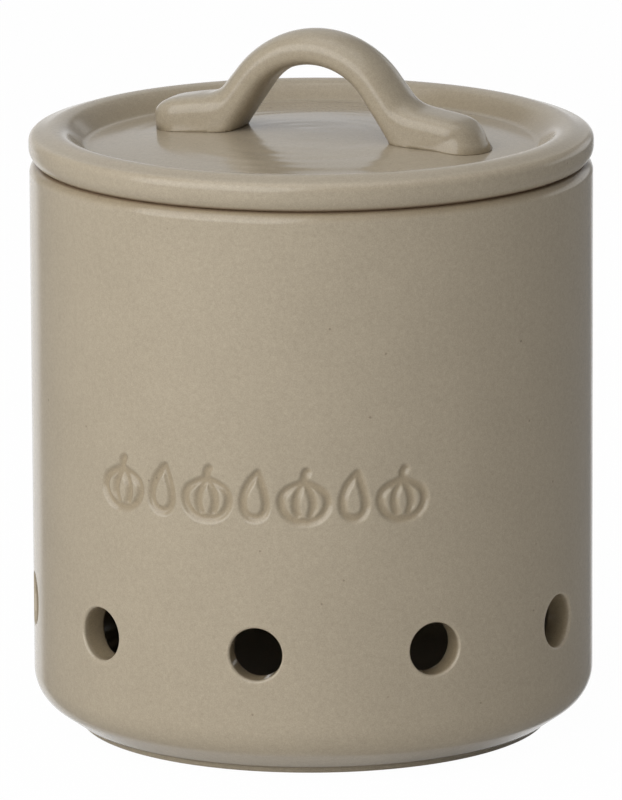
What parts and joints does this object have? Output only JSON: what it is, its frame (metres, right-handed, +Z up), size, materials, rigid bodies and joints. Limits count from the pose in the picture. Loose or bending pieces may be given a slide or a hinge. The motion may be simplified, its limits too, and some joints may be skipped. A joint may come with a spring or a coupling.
{
  "type": "garlic keeper",
  "caption": "Round glazed jar with a ring of air holes near its base, and a dished lid with an arched handle that drops into its mouth, for keeping garlic bulbs dry and aired.",
  "frame": {"origin": "centre of the foot ring's flat face, which stands on the table", "axes": "+Z up along the jar's axis; -Y is the front, where the middle air hole is; +X to the right seen from the front"},
  "size_m": [0.1152, 0.1152, 0.1436],
  "materials": {
    "jar_glaze": "satin taupe glaze, with a bare clay ring under the foot",
    "lid_glaze": "satin taupe glaze",
    "handle_glaze": "satin taupe glaze"
  },
  "bodies": {
    "jar": {"jar": "jar_glaze"},
    "lid": {"lid": "lid_glaze", "handle": "handle_glaze"}
  },
  "joints": [
    {"name": "lid_lift", "type": "slide", "parent": "jar", "child": "lid", "axis": [0, 0, 1], "range_m": [0, 0.1]}
  ]
}
